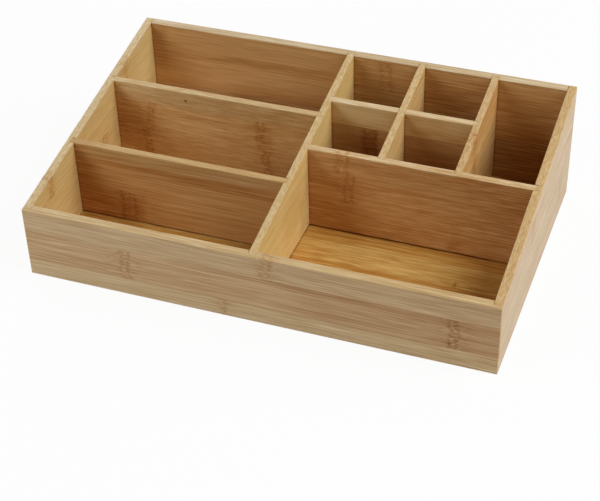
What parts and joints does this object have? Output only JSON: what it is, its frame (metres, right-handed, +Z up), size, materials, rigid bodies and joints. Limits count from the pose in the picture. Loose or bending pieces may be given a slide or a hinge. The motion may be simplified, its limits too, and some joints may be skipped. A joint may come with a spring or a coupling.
{
  "type": "desk organizer",
  "caption": "Open bamboo desk organizer with a sloping top, housed dividers, long bays, a front tray, small upright cells and a tall slot.",
  "frame": {"origin": "on the table, under the middle of the box's footprint", "axes": "+X to the right along the front, +Y to the back, +Z up"},
  "size_m": [0.33, 0.21, 0.0899],
  "materials": {
    "bamboo_wall": "satin clear lacquer",
    "bamboo_divider": "satin clear lacquer",
    "bamboo_base": "satin clear lacquer"
  },
  "bodies": {
    "root": {"front_panel": "bamboo_wall", "back_panel": "bamboo_wall", "left_side": "bamboo_wall", "right_side": "bamboo_wall", "base_panel": "bamboo_base", "centre_divider": "bamboo_divider", "left_front_divider": "bamboo_divider", "left_rear_divider": "bamboo_divider", "cross_divider": "bamboo_divider", "slot_partition": "bamboo_divider", "grid_long_divider": "bamboo_divider", "grid_cross_divider": "bamboo_divider"}
  },
  "joints": []
}
